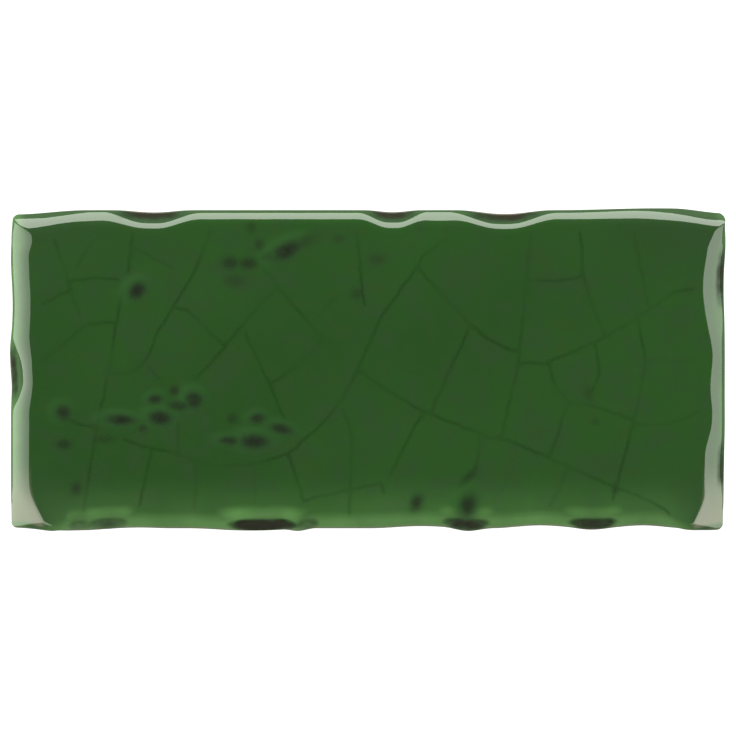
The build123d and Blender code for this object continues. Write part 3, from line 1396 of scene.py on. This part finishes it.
@dataclass(frozen=True)
class Softbox:
    """A softbox: where its middle stands, its size and how bright its cloth is low and high."""

    name: str
    middle: tuple[float, float, float]
    width: float
    height: float
    low: float
    high: float
    tint: Colour = (0.95, 1.0, 0.90)

    def build(self) -> None:
        """Set up the lamp, facing the tile, with its brightness graded up its cloth."""
        data = bpy.data.lights.new(self.name, "AREA")
        data.shape = "RECTANGLE"
        data.size = self.width
        data.size_y = self.height
        data.energy = math.pi * self.width * self.height
        data.use_nodes = True
        bench = NodeBench(data.node_tree)
        cloth = bench.add("ShaderNodeNewGeometry").outputs["Parametric"]
        up = bench.add("ShaderNodeSeparateXYZ", cloth).outputs[1]
        emission = data.node_tree.nodes["Emission"]
        emission.inputs["Color"].default_value = (*self.tint, 1)
        bench.feed(emission.inputs["Strength"], bench.ease(up, Ramp(0, 1, self.low, self.high)))
        lamp = bpy.data.objects.new(self.name, data)
        bpy.context.collection.objects.link(lamp)
        lamp.location = self.middle
        lamp.rotation_euler = (-Vector(self.middle)).to_track_quat("-Z", "Y").to_euler()
        lamp.visible_camera = False


@dataclass
class Studio:
    """The softboxes, the pale floor and the camera straight above the tile.

    The camera's aim, the width of its view and the height that this width is seen at are in millimetres.
    """

    boxes: tuple[Softbox, ...] = (
        Softbox("softbox north", (0, 0.52, 0.24), 0.9, 0.46, 6.3, 6.3),
        Softbox("softbox west", (-0.417, -0.09, 0.315), 0.58, 0.66, 5.0, 2.65),
        Softbox("softbox east", (0.417, -0.09, 0.315), 0.58, 0.66, 3.1, 3.7),
        Softbox("fill south", (0, -0.60, 0.30), 0.8, 0.5, 0.15, 0.15),
    )
    room: Colour = (0.02, 0.02, 0.02)
    floor_size: float = 4.0
    floor_colour: Colour = (0.2, 0.2, 0.2)
    floor_glow: float = 0.97
    distance: float = 0.9
    nearest: float = 0.01
    sensor: float = 36.0
    aim: Place = (0.12, 0.41)
    view_width: float = 154.2
    focus_height: float = 6.5

    def build(self) -> None:
        """Set up the whole stage."""
        for box in self.boxes:
            box.build()
        self.lay_floor()
        self.place_camera()
        world = bpy.data.worlds.new("room")
        world.use_nodes = True
        world.node_tree.nodes["Background"].inputs["Color"].default_value = (*self.room, 1)
        scene = bpy.context.scene
        scene.world = world
        scene.view_settings.view_transform = "Standard"
        log.info("studio: %d softboxes", len(self.boxes))

    def lay_floor(self) -> None:
        """Lay the pale floor that the tile rests on, bright enough to wash out its shadow."""
        bpy.ops.object.select_all(action="DESELECT")
        bpy.ops.mesh.primitive_plane_add(size=self.floor_size, location=(0, 0, 0))
        floor = bpy.context.object
        floor.name = "floor"
        material = bpy.data.materials.new("pale floor")
        material.use_nodes = True
        material.node_tree.nodes.clear()
        bench = NodeBench(material.node_tree)
        diffuse = bench.add("ShaderNodeBsdfDiffuse", (*self.floor_colour, 1))
        seen = bench.add("ShaderNodeLightPath").outputs["Is Camera Ray"]
        glow = bench.add("ShaderNodeEmission")
        glow.inputs["Color"].default_value = (1, 1, 1, 1)
        bench.feed(glow.inputs["Strength"], bench.math("MULTIPLY", seen, self.floor_glow))
        both = bench.add("ShaderNodeAddShader", diffuse.outputs[0], glow.outputs[0])
        bench.add("ShaderNodeOutputMaterial", both.outputs[0])
        floor.data.materials.append(material)

    def place_camera(self) -> None:
        """Hang the camera straight above the tile, with the tile's length across the picture."""
        data = bpy.data.cameras.new("camera")
        data.sensor_width = self.sensor
        data.lens = self.sensor * (self.distance - self.focus_height * MM) / (self.view_width * MM)
        data.clip_start = self.nearest
        camera = bpy.data.objects.new("camera", data)
        bpy.context.collection.objects.link(camera)
        camera.location = (self.aim[0] * MM, self.aim[1] * MM, self.distance)
        bpy.context.scene.camera = camera


def main() -> None:
    """Build the tile and its stage."""
    logging.basicConfig(level=logging.INFO, format="%(name)s: %(message)s")
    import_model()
    glaze = Glaze(GlazeFinish()).build()
    Tile(glaze, PRESSES, HOLLOWS, PITS, Crackle(CRAZES), GlazeMarks()).build()
    Studio().build()


if __name__ == "__main__":
    main()
